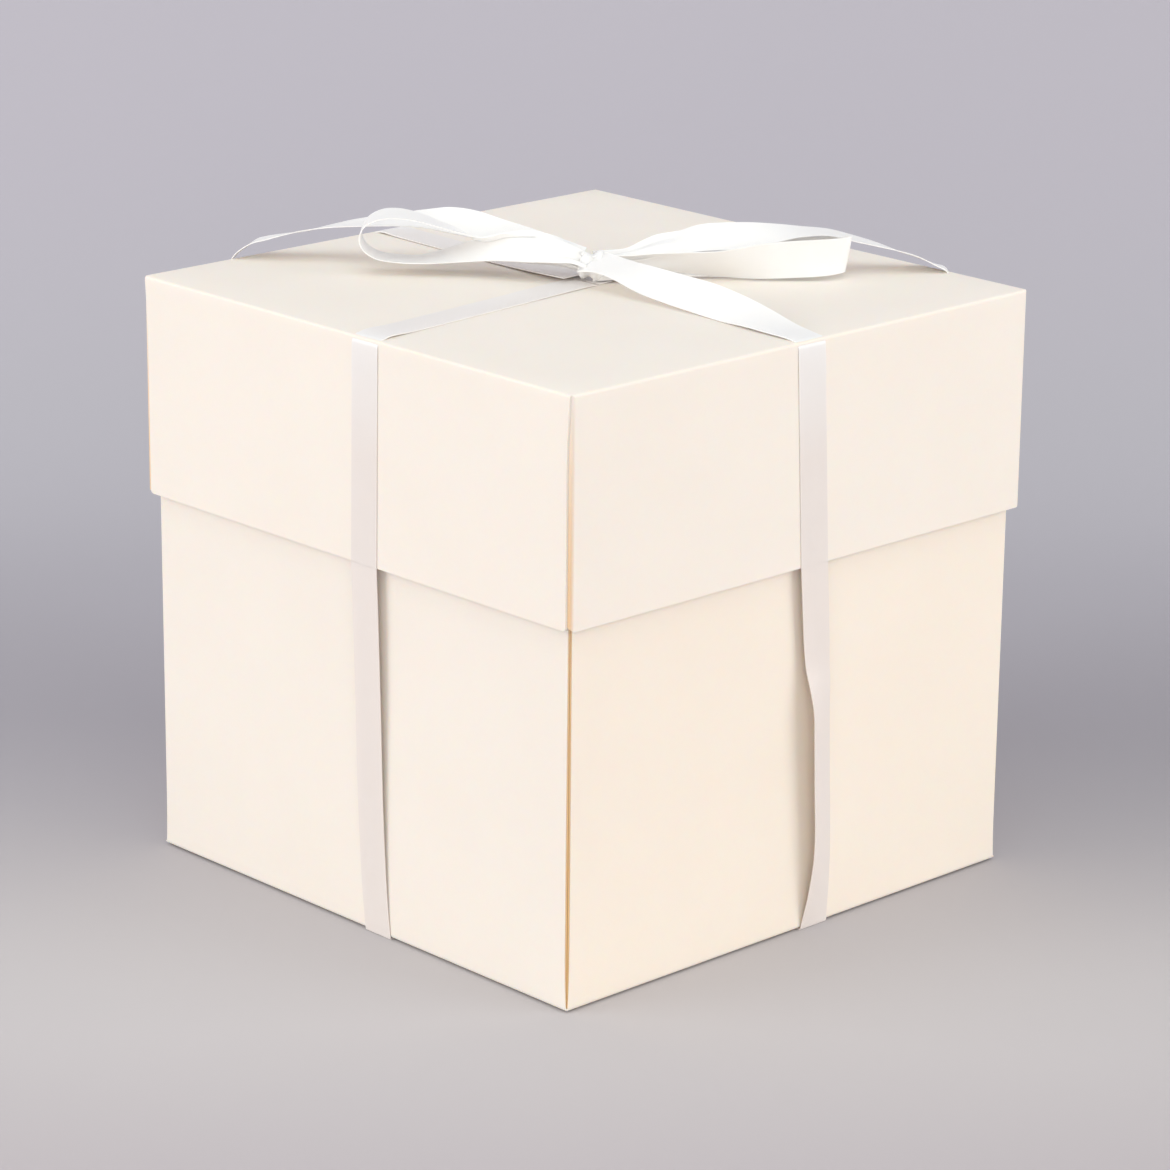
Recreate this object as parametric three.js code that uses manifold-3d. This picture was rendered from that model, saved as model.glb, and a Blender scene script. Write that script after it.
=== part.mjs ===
// An explosion box: three nested card layers that fall open when the lid comes off,
// a small gift box in the middle, and a satin ribbon tied round it all in a bow.
// Millimetres, +Z up. The origin is the middle of the ribbon's underside, on the table.
import * as THREE from 'three';
import Module from 'manifold-3d';
import { mergeVertices } from 'three/addons/utils/BufferGeometryUtils.js';

const wasm = await Module();
wasm.setup();

// Card and clearances
const card = 0.5; // thickness of the card
const seatGap = 0.3; // between a piece and what it rests on
const creaseGap = 0.3; // between a floor's edge and the wall that folds up beside it
const cornerGap = 0.3; // from each wall's raw edge to its neighbour's inner face

// The nested layers, each a floor with four walls
const baseSide = 165; // outer side of the outer layer
const boxHeight = 164; // underside of the base to the top of the lid
const layerStep = 3; // from one layer's outer face in to the next one's
const layerDrop = 6; // each next layer's walls are this much shorter
const layerNames = ['outer', 'middle', 'inner'];

// The lid
const lidPlay = 1.75; // between the base's outer face and the skirt's inner face
const skirtDepth = 61; // from the lid's top to the skirt's lower edge
const tabLength = 15; // glue tab, along the side that it is glued to
const tabTaper = 4; // how far the tab's ends slope in
const tabMargin = 1.5; // from the tab to the top and to the skirt's lower edge

// The small gift box
const giftSide = 60;
const giftHeight = 45;
const giftLidDepth = 18;
const giftPlay = 0.5; // between the tray's outer face and its lid's inner face

// The ribbon
const ribbonWidth = 10;
const ribbonThickness = 0.25;
const ribbonGap = 0.2; // between the ribbon and the card that it lies on
const pieceGap = 0.3; // between the ends of two ribbon pieces

// How far each band lies from the middle of its side where it crosses the lid's edge, the
// skirt's edge and the base's edge. Opposite sides match, so the bands lie a little askew.
const frontBackBand = { atLid: 7.5, atSkirt: 7, atBase: 8.5 };
const leftRightBand = { atLid: 0, atSkirt: 3, atBase: 9.5 };

// Where the right band stands clear of the lid's top: [share of the way from the knot to the
// lid's edge, height of the band's lower edge in ribbon widths, tilt in degrees]
const rightBandRise = [
  [0, 0.47, 18],
  [0.12, 0.44, 17],
  [0.25, 0.24, 30],
  [0.37, 0.12, 38],
  [0.5, 0.06, 40],
  [0.63, 0.04, 32],
  [0.75, 0.06, 15],
  [0.88, 0.04, 2],
];

// The bow. Its frame lies on the lid's top with X along the bow, on the box's diagonal, and
// Y away from the near corner. Its lengths are in ribbon widths, as a wider ribbon makes a
// larger bow. Each station is [distance out, across, height of the ribbon's lower edge, tilt
// in degrees, width]. The distance is counted from the knot's side, and in a tail's End from
// the edge of the lid that it hangs over.
const bowTurn = 45;
const knotRadii = new THREE.Vector3(0.39, 0.42, 0.42);
const knotCentre = new THREE.Vector3(0.1, 0.05, 0.49);
const leftLoop = [
  [0.07, -0.12, 0.46, 40, 0.7],
  [0.51, 0.06, 0.52, 45, 0.95],
  [1.21, 0.3, 0.5, 51],
  [2.17, 0.59, 0.51, 34],
  [3.21, 0.8, 0.42, 16],
  [4.11, 0.8, 0.37, 2],
  [4.81, 0.8, 0.39],
  [5.41, 0.8, 0.49],
  [5.77, 0.8, 0.76],
  [5.84, 0.8, 1.08],
  [5.67, 0.8, 1.37, 3],
  [5.31, 0.82, 1.55, 6],
  [4.86, 0.84, 1.57, 7],
  [4.31, 0.86, 1.51, 5],
  [3.76, 0.89, 1.34, -1],
  [3.11, 0.96, 0.98, -14],
  [2.31, 1.06, 0.44, -68],
  [1.21, 0.7, 0.35, -84, 0.8],
  [0.51, 0.36, 0.25, -88, 0.7],
  [0.05, 0.15, 0.19, -88, 0.55],
];
const rightLoop = [
  [0.07, -0.04, 0.17, 95, 0.55],
  [0.71, 0.19, 0.12, 112, 0.6],
  [1.31, 0.28, 0.11, 122, 0.7],
  [2.11, 0.34, 0.09, 127, 0.9],
  [3.11, 0.38, 0.06, 124],
  [4.21, 0.46, 0.06, 114],
  [5.11, 0.62, 0.06, 97],
  [5.81, 0.7, 0.07, 90],
  [6.46, 0.78, 0.08, 88],
  [6.81, 1.02, 0.07, 88, 0.98],
  [6.66, 1.26, 0.08, 86, 0.88],
  [6.01, 1.32, 0.09, 80, 0.8],
  [4.71, 1.24, 0.09, 68, 0.8],
  [3.31, 1.06, 0.1, 52, 0.8],
  [2.11, 0.84, 0.15, 36, 0.7],
  [1.01, 0.5, 0.18, 30, 0.5],
  [0.09, 0.09, 0.11, 50, 0.3],
];
const leftTail = [
  [0.05, 0.32, 0.25, 88, 0.55],
  [0.51, 0.56, 0.24, 80, 0.7],
  [1.21, 1.05, 0.41, 55, 0.9],
  [1.94, 1.64, 0.66, 32],
  [2.81, 1.96, 0.82, 37],
  [3.46, 2.06, 0.94, 32],
  [4.01, 2.15, 1.04, 20],
  [4.85, 2.23, 1.05, 12],
  [6.11, 2.32, 0.95, 3],
];
const leftTailEnd = [
  [-1.37, 2.42, 0.61, -3],
  [-0.33, 2.46, 0.37, -2],
  [0.31, 2.58, 0.18, -2],
  [0.81, 2.72, -0.18],
  [0.93, 2.76, -0.9],
];
const rightTail = [
  [0.07, 0.22, 0.43, 78, 0.5],
  [0.61, 0.42, 0.53, 58, 0.6],
  [1.31, 0.54, 0.6, 42, 0.8],
  [2.06, 0.7, 0.76, 28, 0.95],
  [2.61, 0.8, 0.8, 36],
  [3.71, 1, 0.83, 36],
  [4.61, 1.24, 0.94, 24],
  [5.31, 1.48, 1, 12],
  [6.11, 1.8, 1.01, 4],
  [6.81, 1.98, 0.85, -1],
];
const rightTailEnd = [
  [-1.93, 2.06, 0.58, -5],
  [-1.01, 2.08, 0.26, -8],
  [-0.37, 2.12, 0.13, -6],
  [0.32, 2.26, 0.08, -3],
  [0.81, 2.42, -0.24],
  [0.91, 2.46, -0.94],
];

// Sizes worked out from the ones above
const floorLevel = 2 * ribbonThickness; // the ribbon crosses itself under the base
const layerRise = card + seatGap; // from one layer's floor up to the next one's
const lidTop = floorLevel + boxHeight;
const lidUnderside = lidTop - card;
const skirtBottom = lidTop - skirtDepth;
const baseHalf = baseSide / 2;
const lidHalf = baseHalf + lidPlay + card;
const outerWallHeight = lidUnderside - seatGap - floorLevel;
const ribbonOffset = ribbonGap + ribbonThickness / 2; // card face to the ribbon's middle

// The box's sides, with the turn that brings the X axis out of each
const lyingFlat = [[0, ribbonOffset / ribbonWidth, 0]];
const front = { name: 'front', turn: -90, band: frontBackBand, rise: lyingFlat };
const right = { name: 'right', turn: 0, band: leftRightBand, rise: rightBandRise };
const back = { name: 'back', turn: 90, band: frontBackBand, rise: lyingFlat };
const left = { name: 'left', turn: 180, band: leftRightBand, rise: lyingFlat };
const sides = [front, right, back, left];

// Finishes
const ivoryCard = { color: 0xf7eee2, roughness: 0.85, metalness: 0 };
const whiteSatin = { color: 0xf6f4f2, roughness: 0.4, metalness: 0 };

const model = new THREE.Group();

function addPiece(parent, name, geometry, finish) {
  const mesh = new THREE.Mesh(geometry, new THREE.MeshStandardMaterial(finish));
  mesh.name = name;
  parent.add(mesh);
  return mesh;
}

// A group turned so that its X axis points out of one side of the box
function facing(turn, height = 0) {
  const group = new THREE.Group();
  group.rotation.z = THREE.MathUtils.degToRad(turn);
  group.position.z = height;
  model.add(group);
  return group;
}

// A card panel that stands on edge, with its outer face at X = outerFace
function addUpright(parent, name, outerFace, length, bottom, top) {
  const panel = addPiece(parent, name, new THREE.BoxGeometry(card, length, top - bottom), ivoryCard);
  panel.position.set(outerFace - card / 2, 0, (bottom + top) / 2);
  return panel;
}

// Two solids, the second cut out of the first
function cutOut(outerGeometry, innerGeometry) {
  const solids = [outerGeometry, innerGeometry].map((geometry) => {
    geometry.deleteAttribute('normal');
    geometry.deleteAttribute('uv');
    const merged = mergeVertices(geometry);
    return new wasm.Manifold(
      new wasm.Mesh({
        numProp: 3,
        vertProperties: new Float32Array(merged.attributes.position.array),
        triVerts: new Uint32Array(merged.index.array),
      }),
    );
  });
  const cut = solids[0].subtract(solids[1]).getMesh();
  const result = new THREE.BufferGeometry();
  result.setAttribute('position', new THREE.BufferAttribute(cut.vertProperties, 3));
  result.setIndex(new THREE.BufferAttribute(cut.triVerts, 1));
  result.computeVertexNormals();
  return result;
}

// A box with card walls and floor, open at the top; its floor lies at Z = 0
function openBox(side, height) {
  const outside = new THREE.BoxGeometry(side, side, height).translate(0, 0, height / 2);
  const insideSide = side - 2 * card;
  const inside = new THREE.BoxGeometry(insideSide, insideSide, height);
  return cutOut(outside, inside.translate(0, 0, height / 2 + card));
}

// A length of ribbon through stations of [along, across, height of its lower edge, tilt in
// degrees, share of its width], the width lying across, tilted up at its far edge. With
// steps over 1 it runs smoothly through them, and with 1 straight from each to the next.
function ribbonStrip(stations, steps) {
  const middles = new THREE.CatmullRomCurve3(
    stations.map(([along, across, lower, tilt = 0, share = 1]) => {
      const rise = Math.abs(Math.sin(THREE.MathUtils.degToRad(tilt)));
      return new THREE.Vector3(along, across, lower + (rise * share * ribbonWidth) / 2);
    }),
  );
  const shapes = new THREE.CatmullRomCurve3(
    stations.map(([, , , tilt = 0, share = 1]) => new THREE.Vector3(tilt, share)),
  );
  const count = (stations.length - 1) * steps;
  const positions = [];
  for (let i = 0; i <= count; i += 1) {
    const middle = middles.getPoint(i / count);
    const before = middles.getPoint(Math.max(i - 1, 0) / count);
    const after = middles.getPoint(Math.min(i + 1, count) / count);
    const shape = shapes.getPoint(i / count);
    const tilt = THREE.MathUtils.degToRad(shape.x);
    const across = new THREE.Vector3(0, Math.cos(tilt), Math.sin(tilt));
    const forward = after.sub(before).normalize();
    const halfWidth = across.clone().multiplyScalar((shape.y * ribbonWidth) / 2);
    const halfThickness = forward.cross(across).normalize().multiplyScalar(ribbonThickness / 2);
    for (const [wide, thick] of [[1, 1], [-1, 1], [-1, -1], [1, -1]]) {
      const corner = middle.clone();
      corner.addScaledVector(halfWidth, wide).addScaledVector(halfThickness, thick);
      positions.push(corner.x, corner.y, corner.z);
    }
  }
  const indices = [0, 2, 1, 0, 3, 2];
  for (let i = 0; i < count; i += 1) {
    for (let corner = 0; corner < 4; corner += 1) {
      const a = 4 * i + corner;
      const b = 4 * i + ((corner + 1) % 4);
      // The underside is split along the same diagonal as the top, so that the two stay a
      // ribbon's thickness apart where it twists.
      if (corner === 2) indices.push(a, b, a + 4, b, b + 4, a + 4);
      else indices.push(a, b, b + 4, a, b + 4, a + 4);
    }
  }
  const end = 4 * count;
  indices.push(end, end + 1, end + 2, end, end + 2, end + 3);
  const geometry = new THREE.BufferGeometry();
  geometry.setAttribute('position', new THREE.Float32BufferAttribute(positions, 3));
  geometry.setIndex(indices);
  geometry.computeVertexNormals();
  return geometry;
}

// The nested layers
layerNames.forEach((layerName, layer) => {
  const half = baseHalf - layer * layerStep;
  const level = floorLevel + layer * layerRise;
  const wallTop = floorLevel + outerWallHeight - layer * layerDrop;
  const floorSide = 2 * (half - card - creaseGap);
  const wallLength = 2 * (half - card - cornerGap);
  const floorPanel = new THREE.BoxGeometry(floorSide, floorSide, card);
  const floor = addPiece(model, `${layerName}_floor`, floorPanel, ivoryCard);
  floor.position.z = level + card / 2;
  for (const side of sides) {
    addUpright(facing(side.turn), `${layerName}_wall_${side.name}`, half, wallLength, level, wallTop);
  }
});

// The small gift box and its lid
const giftLevel = floorLevel + layerNames.length * layerRise;
const giftTray = addPiece(model, 'gift_tray', openBox(giftSide, giftHeight), ivoryCard);
giftTray.position.z = giftLevel;
const giftLidSide = giftSide + 2 * (giftPlay + card);
const giftLidShape = openBox(giftLidSide, giftLidDepth).rotateX(Math.PI);
const giftLid = addPiece(model, 'gift_lid', giftLidShape, ivoryCard);
giftLid.position.z = giftLevel + giftHeight + seatGap + card;

// The lid: a top, four skirt sides and a glue tab inside each corner
const topPanel = new THREE.BoxGeometry(2 * lidHalf, 2 * lidHalf, card);
addPiece(model, 'lid_top', topPanel, ivoryCard).position.z = lidTop - card / 2;

const tabDepth = skirtDepth - card - 2 * tabMargin;
const tabOutline = new THREE.Shape([
  new THREE.Vector2(0, 0),
  new THREE.Vector2(tabLength, tabTaper),
  new THREE.Vector2(tabLength, tabDepth - tabTaper),
  new THREE.Vector2(0, tabDepth),
]);

function addTab(parent, name, end) {
  const shape = new THREE.ExtrudeGeometry(tabOutline, { depth: card, bevelEnabled: false });
  const tab = addPiece(parent, name, shape, ivoryCard);
  // The outline's X runs from the corner towards the middle of the side, and its Y up.
  const inward = new THREE.Vector3(0, -end, 0);
  const up = new THREE.Vector3(0, 0, 1);
  const through = inward.clone().cross(up);
  tab.setRotationFromMatrix(new THREE.Matrix4().makeBasis(inward, up, through));
  const backFace = through.x > 0 ? lidHalf - 2 * card : lidHalf - card;
  tab.position.set(backFace, end * (lidHalf - card), skirtBottom + tabMargin);
}

for (const side of sides) {
  const frame = facing(side.turn);
  const fullLength = side.name === 'right' || side.name === 'left';
  const length = fullLength ? 2 * lidHalf : 2 * (lidHalf - card);
  addUpright(frame, `lid_skirt_${side.name}`, lidHalf, length, skirtBottom, lidUnderside);
  if (!fullLength) {
    addTab(frame, `lid_tab_${side.name}_1`, 1);
    addTab(frame, `lid_tab_${side.name}_2`, -1);
  }
}

// The ribbon's bands: over the lid and down its skirt, then down to the base's lower edge
const bandStart = ribbonWidth / 2 + pieceGap;
const bendSteps = 4;

function bandOverLid({ band, rise }) {
  const stations = rise.map(([share, height, tilt]) => {
    const distance = THREE.MathUtils.lerp(bandStart, lidHalf, share);
    const level = lidTop + height * ribbonWidth;
    return [distance, (band.atLid * distance) / lidHalf, level, tilt];
  });
  for (let i = 0; i <= bendSteps; i += 1) {
    const angle = ((Math.PI / 2) * i) / bendSteps;
    const out = lidHalf + ribbonOffset * Math.sin(angle);
    stations.push([out, band.atLid, lidTop + ribbonOffset * Math.cos(angle)]);
  }
  stations.push([lidHalf + ribbonOffset, band.atSkirt, skirtBottom]);
  return ribbonStrip(stations, 1);
}

function bandToBase({ band }) {
  const top = skirtBottom - pieceGap;
  const bottom = ribbonThickness + pieceGap;
  const stations = [
    [lidHalf + ribbonOffset, band.atSkirt, top],
    [baseHalf + ribbonOffset, band.atBase, bottom],
  ];
  return ribbonStrip(stations, 1);
}

for (const side of sides) {
  const frame = facing(side.turn);
  addPiece(frame, `ribbon_over_${side.name}`, bandOverLid(side), whiteSatin);
  addPiece(frame, `ribbon_drop_${side.name}`, bandToBase(side), whiteSatin);
}

// The two strips under the base. The second steps over the first where they cross.
const underEnd = baseHalf + ribbonGap + ribbonThickness;

function bandUnder(band, heights) {
  const stations = heights.map(([along, height]) => [along, (band.atBase * along) / underEnd, height]);
  return ribbonStrip(stations, 1);
}

const underLow = ribbonThickness / 2;
const underHigh = underLow + ribbonThickness;
const skew = frontBackBand.atBase / underEnd;
const stepEnd = (ribbonWidth / 2) * (1 + 2 * skew) + pieceGap;
const stepFoot = stepEnd + ribbonWidth / 2;
const flatUnder = [
  [-underEnd, underLow],
  [underEnd, underLow],
];
const steppedUnder = [
  [-underEnd, underLow],
  [-stepFoot, underLow],
  [-stepEnd, underHigh],
  [stepEnd, underHigh],
  [stepFoot, underLow],
  [underEnd, underLow],
];
const frontBackUnder = bandUnder(frontBackBand, flatUnder);
const leftRightUnder = bandUnder(leftRightBand, steppedUnder);
addPiece(facing(front.turn), 'ribbon_under_front_back', frontBackUnder, whiteSatin);
addPiece(facing(right.turn), 'ribbon_under_left_right', leftRightUnder, whiteSatin);

// The bow: a knot, two loops and two tails
const bow = facing(bowTurn, lidTop);
const knot = addPiece(bow, 'bow_knot', new THREE.SphereGeometry(1, 16, 12), whiteSatin);
knot.scale.copy(knotRadii).multiplyScalar(ribbonWidth);
knot.position.copy(knotCentre).multiplyScalar(ribbonWidth);

// direction is 1 for the pieces on the right of the knot and -1 for those on its left
function addBowPiece(name, direction, stations, endStations) {
  const knotSide = direction * knotCentre.x + knotRadii.x;
  const corner = (Math.SQRT2 * lidHalf) / ribbonWidth;
  const outFromMiddle = [
    ...stations.map(([out, ...rest]) => [knotSide + out, ...rest]),
    ...endStations.map(([out, across, ...rest]) => [corner - across + out, across, ...rest]),
  ];
  const inMillimetres = outFromMiddle.map(([out, across, lower, ...shape]) => [
    direction * out * ribbonWidth,
    across * ribbonWidth,
    lower * ribbonWidth,
    ...shape,
  ]);
  addPiece(bow, name, ribbonStrip(inMillimetres, bowSteps), whiteSatin);
}

const bowSteps = 3;
addBowPiece('bow_loop_left', -1, leftLoop, []);
addBowPiece('bow_loop_right', 1, rightLoop, []);
addBowPiece('bow_tail_left', -1, leftTail, leftTailEnd);
addBowPiece('bow_tail_right', 1, rightTail, rightTailEnd);

export default model;
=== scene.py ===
"""The explosion box, dressed: folded ivory card, satin ribbon and the studio it stands in.

Lengths are in metres. The tables of stations are in millimetres.
"""

import math

import bmesh
import bpy
import numpy as np
from mathutils import Matrix, Vector


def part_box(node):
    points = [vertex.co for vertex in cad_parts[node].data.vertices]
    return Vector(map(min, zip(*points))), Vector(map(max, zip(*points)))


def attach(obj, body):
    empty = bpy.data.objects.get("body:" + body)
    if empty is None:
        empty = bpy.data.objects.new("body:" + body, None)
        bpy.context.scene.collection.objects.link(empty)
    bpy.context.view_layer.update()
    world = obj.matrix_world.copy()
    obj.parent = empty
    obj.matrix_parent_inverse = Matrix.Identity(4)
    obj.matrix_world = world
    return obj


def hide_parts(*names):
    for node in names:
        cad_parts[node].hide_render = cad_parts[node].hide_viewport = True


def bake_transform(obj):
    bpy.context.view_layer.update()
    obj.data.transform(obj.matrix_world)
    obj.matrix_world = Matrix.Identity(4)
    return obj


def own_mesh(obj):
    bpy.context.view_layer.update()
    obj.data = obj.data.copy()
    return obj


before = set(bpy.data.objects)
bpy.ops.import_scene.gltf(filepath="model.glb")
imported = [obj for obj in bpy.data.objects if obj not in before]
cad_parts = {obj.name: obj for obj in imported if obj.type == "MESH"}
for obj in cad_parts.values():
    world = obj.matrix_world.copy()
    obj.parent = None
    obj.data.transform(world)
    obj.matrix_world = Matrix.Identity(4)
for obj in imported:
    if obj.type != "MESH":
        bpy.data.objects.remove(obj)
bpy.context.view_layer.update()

MM = 0.001
SIDES = {"front": -90, "right": 0, "back": 90, "left": 180}
LAYERS = ("outer", "middle", "inner")

# Sizes of the frame
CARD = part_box("lid_top")[1][2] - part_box("lid_top")[0][2]
LID_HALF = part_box("lid_top")[1][0]
LID_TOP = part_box("lid_top")[1][2]
SKIRT_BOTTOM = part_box("lid_skirt_front")[0][2]
BASE_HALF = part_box("outer_wall_right")[1][0]

RIBBON_WIDTH = 10 * MM
RIBBON_THICKNESS = 0.25 * MM

PHOTO = 1170  # the photograph's side in pixels
FOCAL = 4341.8  # focal length in those pixels
SENSOR = 36.0
CAMERA_ANGLES = (46.317, 17.373, 0.602)  # azimuth, elevation and roll
CAMERA_DISTANCE = 1.1987
CAMERA_TARGET = 82 * MM  # height of the point that the camera is aimed at
CAMERA_SHIFT = (0.868, -3.115)  # millimetres that it stands to the right of that line and up
CAMERA_CLIP = (0.05, 20)
STUDIO_AZIMUTH = 46.3  # the way that the studio faces


def toward(azimuth, elevation):
    """The direction to a place that is seen at an azimuth and elevation, in radians"""
    level = math.cos(elevation)
    return Vector((math.sin(azimuth) * level, -math.cos(azimuth) * level, math.sin(elevation)))


def make_camera():
    azimuth, elevation, roll = (math.radians(a) for a in CAMERA_ANGLES)
    back = toward(azimuth, elevation)
    across = Vector((0, 0, 1)).cross(back).normalized()
    up = back.cross(across)
    right = math.cos(roll) * across + math.sin(roll) * up
    upright = math.cos(roll) * up - math.sin(roll) * across
    target = Vector((0, 0, CAMERA_TARGET))
    aside, upward = CAMERA_SHIFT
    place = target + back * CAMERA_DISTANCE + right * aside * MM + upright * upward * MM
    data = bpy.data.cameras.new("camera")
    data.sensor_fit = "HORIZONTAL"
    data.sensor_width = SENSOR
    data.lens = FOCAL * SENSOR / PHOTO
    data.clip_start, data.clip_end = CAMERA_CLIP
    camera = bpy.data.objects.new("camera", data)
    basis = Matrix((right, upright, back)).transposed().to_4x4()
    camera.matrix_world = Matrix.Translation(place) @ basis
    bpy.context.collection.objects.link(camera)
    bpy.context.scene.camera = camera


make_camera()


def shader(name):
    material = bpy.data.materials.new(name)
    material.use_nodes = True
    nodes, links = material.node_tree.nodes, material.node_tree.links
    return material, nodes, links, nodes["Principled BSDF"]


def noise(nodes, links, vector, scale, detail=3.0, rough=0.55):
    made = nodes.new("ShaderNodeTexNoise")
    made.inputs["Scale"].default_value = scale
    made.inputs["Detail"].default_value = detail
    made.inputs["Roughness"].default_value = rough
    links.new(vector, made.inputs["Vector"])
    return made.outputs["Fac"]


def math_node(nodes, links, operation, *values):
    """values are sockets or numbers"""
    made = nodes.new("ShaderNodeMath")
    made.operation = operation
    for socket, value in zip(made.inputs, values):
        if isinstance(value, (int, float)):
            socket.default_value = value
        else:
            links.new(value, socket)
    return made.outputs[0]


def mixed_colour(nodes, links, factor, a, b):
    """a and b are sockets or colours"""
    made = nodes.new("ShaderNodeMix")
    made.data_type = "RGBA"
    links.new(factor, made.inputs["Factor"])
    for socket, colour in ((made.inputs["A"], a), (made.inputs["B"], b)):
        if isinstance(colour, tuple):
            socket.default_value = (*colour, 1)
        else:
            links.new(colour, socket)
    return made.outputs["Result"]


def spread(nodes, links, value, low, high, a=0.0, b=1.0):
    """value from low..high as a number from a to b"""
    made = nodes.new("ShaderNodeMapRange")
    for key, x in (("From Min", low), ("From Max", high), ("To Min", a), ("To Max", b)):
        made.inputs[key].default_value = x
    links.new(value, made.inputs["Value"])
    return made.outputs["Result"]


def ramp(nodes, links, value, low, high, a, b):
    """value from low..high as a colour from a to b"""
    return mixed_colour(nodes, links, spread(nodes, links, value, low, high), a, b)


def bump(nodes, links, height, distance, strength=1.0, onto=None):
    made = nodes.new("ShaderNodeBump")
    made.inputs["Strength"].default_value = strength
    made.inputs["Distance"].default_value = distance
    links.new(height, made.inputs["Height"])
    if onto is not None:
        links.new(onto, made.inputs["Normal"])
    return made.outputs["Normal"]


def add(nodes, links, a, b, share=1.0):
    """a and a share of b"""
    return math_node(nodes, links, "MULTIPLY_ADD", b, share, a)


def by_mark(nodes, links, colour, marked):
    """colour where a mesh's mark is 0, marked where it is 1"""
    mark = nodes.new("ShaderNodeAttribute")
    mark.attribute_name = "mark"
    return mixed_colour(nodes, links, mark.outputs["Fac"], colour, marked)


def split_uv(nodes, links):
    uv = nodes.new("ShaderNodeUVMap").outputs["UV"]
    apart = nodes.new("ShaderNodeSeparateXYZ")
    links.new(uv, apart.inputs["Vector"])
    return uv, apart.outputs["X"], apart.outputs["Y"]


def scatter(surface, weight, radius, scale):
    surface.inputs["Subsurface Weight"].default_value = weight
    surface.inputs["Subsurface Radius"].default_value = radius
    surface.inputs["Subsurface Scale"].default_value = scale


MIDDLING = (0.3, 0.7)  # the values that most of a noise lies between
# tan that is painted into grooves and slits as warm shade, for light bounced round inside them
GROOVE_SHADE_COLOUR = (0.8, 0.5, 0.235)
CARD_GLOSS = 0.35
CARD_SCATTER = (0.35, (1, 0.62, 0.36), 0.5 * MM)  # weight, radius for each colour, scale


def card_material(name, light, dark, roughness):
    """The mark tells how much painted warm shade covers the card, from 0 to 1: the tan of light
    bounced round inside grooves and slits
    """
    material, nodes, links, surface = shader(name)
    place = nodes.new("ShaderNodeTexCoord").outputs["Object"]
    cloud = noise(nodes, links, place, scale=28, detail=4)
    fibre = noise(nodes, links, place, scale=900, detail=4, rough=0.7)
    mixed = add(nodes, links, cloud, fibre, share=0.5)
    face = ramp(nodes, links, mixed, low=0.45, high=1.05, a=dark, b=light)
    links.new(by_mark(nodes, links, face, GROOVE_SHADE_COLOUR), surface.inputs["Base Color"])
    links.new(spread(nodes, links, fibre, *MIDDLING, *roughness), surface.inputs["Roughness"])
    grain = noise(nodes, links, place, scale=2200, detail=3, rough=0.6)
    soft = bump(nodes, links, cloud, distance=0.2 * MM, strength=0.15)
    tooth = add(nodes, links, grain, fibre, share=0.8)
    worn = bump(nodes, links, tooth, distance=0.02 * MM, strength=0.5, onto=soft)
    links.new(worn, surface.inputs["Normal"])
    surface.inputs["Specular IOR Level"].default_value = CARD_GLOSS
    scatter(surface, *CARD_SCATTER)
    return material


MATT, RAW = (0.6, 0.74), (0.8, 0.95)  # roughness from and to
CARD_FACE = card_material("ivory_card", (0.9, 0.835, 0.762), (0.88, 0.812, 0.735), MATT)
CARD_WARM = card_material("ivory_card_warm", (0.925, 0.835, 0.735), (0.905, 0.812, 0.71), MATT)
CARD_EDGE = card_material("ivory_card_cut_edge", (0.93, 0.86, 0.775), (0.88, 0.79, 0.69), RAW)

WARP_THREADS, WEFT_THREADS = 60, 38  # threads in a ribbon's width, across it and along it
SELVEDGE = (0.46, 0.475)  # the woven edge begins here, in widths from the middle
SATIN_SCATTER = (0.5, (1, 0.95, 0.88), 0.4 * MM)
STREAKS = (0.6, 26, 1)  # how a noise is drawn out along the threads
SHADED, EDGE_TONE = 0.965, 1.02  # tones of the streaks and of the woven edges, over the tint's


def satin_material(name, tint, on_card_and_shade):
    """UVs count in ribbon widths: U along the ribbon, V across it from 0 to 1.

    The mark leads from tint to on_card_and_shade: the ivory seen through the ribbon, partly painted
    shade.
    """
    material, nodes, links, surface = shader(name)
    uv, along, across = split_uv(nodes, links)

    def threads(value, count):
        scaled = math_node(nodes, links, "MULTIPLY", value, count * 2 * math.pi)
        return math_node(nodes, links, "SINE", scaled)

    warp = threads(across, WARP_THREADS)
    weft = threads(along, WEFT_THREADS)
    stretched = nodes.new("ShaderNodeMapping")
    stretched.inputs["Scale"].default_value = STREAKS
    links.new(uv, stretched.inputs["Vector"])
    streak = noise(nodes, links, stretched.outputs["Vector"], scale=3, detail=4, rough=0.6)
    cloud = noise(nodes, links, uv, scale=1.4, detail=3)
    # the woven edges: a denser, slightly raised line along both sides
    outward = math_node(nodes, links, "SUBTRACT", across, 0.5)
    outward = math_node(nodes, links, "ABSOLUTE", outward)
    selvedge = spread(nodes, links, outward, *SELVEDGE)
    shade = add(nodes, links, streak, cloud, share=0.6)
    shaded = tuple(SHADED * c for c in tint)
    base = ramp(nodes, links, shade, low=0.45, high=1.1, a=shaded, b=tint)
    edge_tint = tuple(min(1.0, EDGE_TONE * c) for c in tint)
    edged = mixed_colour(nodes, links, selvedge, base, edge_tint)
    links.new(by_mark(nodes, links, edged, on_card_and_shade), surface.inputs["Base Color"])
    rough = spread(nodes, links, streak, *MIDDLING, a=0.36, b=0.5)
    links.new(add(nodes, links, rough, selvedge, share=0.25), surface.inputs["Roughness"])
    surface.inputs["Anisotropic"].default_value = 0.45
    surface.inputs["Sheen Weight"].default_value = 0.15
    surface.inputs["Sheen Roughness"].default_value = 0.4
    surface.inputs["Specular IOR Level"].default_value = 0.45
    scatter(surface, *SATIN_SCATTER)
    weave = add(nodes, links, warp, weft, share=0.45)
    raised = bump(nodes, links, selvedge, distance=0.04 * MM, strength=0.3)
    streaked = bump(nodes, links, streak, distance=0.05 * MM, strength=0.35, onto=raised)
    woven = bump(nodes, links, weave, distance=0.006 * MM, strength=0.6, onto=streaked)
    links.new(woven, surface.inputs["Normal"])
    return material
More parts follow.
